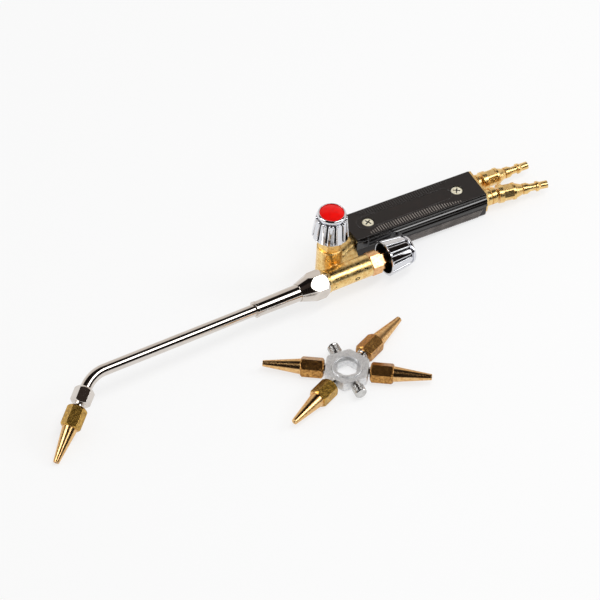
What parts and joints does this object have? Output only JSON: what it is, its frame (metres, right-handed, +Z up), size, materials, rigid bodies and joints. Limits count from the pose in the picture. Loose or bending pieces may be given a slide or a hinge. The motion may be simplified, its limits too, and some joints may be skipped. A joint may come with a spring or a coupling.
{
  "type": "propane torch",
  "caption": "Hand gas torch with a bent head, long mixing tube, offset black handle, fuel and oxygen needle valves and hose tails, and a flat star carrier of spare nozzles.",
  "frame": {"origin": "centre of the overall box at table height; the torch lies on its nozzle tip and the heel of its handle, and the nozzle carrier lies flat beside the mixing tube", "axes": "+X back along the torch towards the hose tails, +Y to the side where the handle sits, +Z up"},
  "size_m": [0.4022, 0.143, 0.0648],
  "materials": {
    "turned_brass": "bright turned brass",
    "cast_brass": "tumbled cast brass",
    "copper": "drawn copper pipe",
    "nickel_plate": "bright nickel plate",
    "chrome_plate": "bright chrome plate",
    "zinc_plate": "zinc plated steel",
    "yellow_zinc": "yellow zinc plate",
    "steel": "turned steel",
    "black_plastic": "glossy black moulding",
    "red_cap": "glossy red moulding",
    "blue_cap": "glossy blue moulding",
    "seal_rubber": "matt rubber",
    "packing": "graphite packing"
  },
  "bodies": {
    "torch": {"union_nut": "chrome_plate", "valve_body": "cast_brass", "injector": "turned_brass", "fuel_gland_nut": "turned_brass", "fuel_gland_packing": "packing", "oxygen_gland_nut": "turned_brass", "oxygen_gland_packing": "packing", "handle_top_shell": "black_plastic", "handle_bottom_shell": "black_plastic", "handle_screws": "yellow_zinc", "handle_nuts": "steel", "rear_end_plate": "turned_brass", "fuel_pipe": "copper", "fuel_inlet": "turned_brass", "fuel_hose_nut": "turned_brass", "fuel_hose_tail": "turned_brass", "oxygen_pipe": "copper", "oxygen_inlet": "turned_brass", "oxygen_hose_nut": "turned_brass", "oxygen_hose_tail": "turned_brass"},
    "head": {"nozzle_tip": "turned_brass", "nozzle_adapter": "nickel_plate", "mixing_tube": "nickel_plate", "mixer_sleeve": "nickel_plate", "mixer_inlet": "turned_brass", "mixer_seal": "seal_rubber"},
    "fuel_needle_body": {"fuel_needle": "steel"},
    "fuel_knob_body": {"fuel_spindle": "steel", "fuel_knob": "chrome_plate", "fuel_knob_screw": "steel", "fuel_cap": "red_cap"},
    "oxygen_needle_body": {"oxygen_needle": "steel"},
    "oxygen_knob_body": {"oxygen_spindle": "steel", "oxygen_knob": "chrome_plate", "oxygen_knob_screw": "steel", "oxygen_cap": "blue_cap"},
    "nozzle_carrier": {"carrier_hub": "zinc_plate", "carrier_studs": "chrome_plate", "spare_nozzle_1": "turned_brass", "spare_nozzle_2": "turned_brass", "spare_nozzle_3": "turned_brass", "spare_nozzle_4": "turned_brass"}
  },
  "joints": [
    {"name": "head_swivel", "type": "hinge", "parent": "torch", "child": "head", "pos_m": [0.0039, 0.0286, 0.0198], "axis": [0.9987, 0, -0.0513], "range_deg": [-180, 180]},
    {"name": "fuel_spindle_lift", "type": "slide", "parent": "torch", "child": "fuel_needle_body", "axis": [0.0513, 0, 0.9987], "range_m": [0, 0.00201]},
    {"name": "fuel_knob_turn", "type": "hinge", "parent": "fuel_needle_body", "child": "fuel_knob_body", "pos_m": [0.03793, 0.0436, 0.04299], "axis": [0.0513, 0, 0.9987], "range_deg": [0, 720]},
    {"name": "oxygen_spindle_lift", "type": "slide", "parent": "torch", "child": "oxygen_needle_body", "axis": [0.9987, 0, -0.0513], "range_m": [0, 0.00201]},
    {"name": "oxygen_knob_turn", "type": "hinge", "parent": "oxygen_needle_body", "child": "oxygen_knob_body", "pos_m": [0.06951, 0.0286, 0.01643], "axis": [0.9987, 0, -0.0513], "range_deg": [0, 720]},
    {"name": "carrier_lift_off", "type": "slide", "parent": "torch", "child": "nozzle_carrier", "axis": [0, 0, 1], "range_m": [0, 0.1]}
  ],
  "couplings": [
    {"joint": "fuel_spindle_lift", "follows": "fuel_knob_turn", "m_per_rad": 0.00015915},
    {"joint": "oxygen_spindle_lift", "follows": "oxygen_knob_turn", "m_per_rad": 0.00015915}
  ]
}
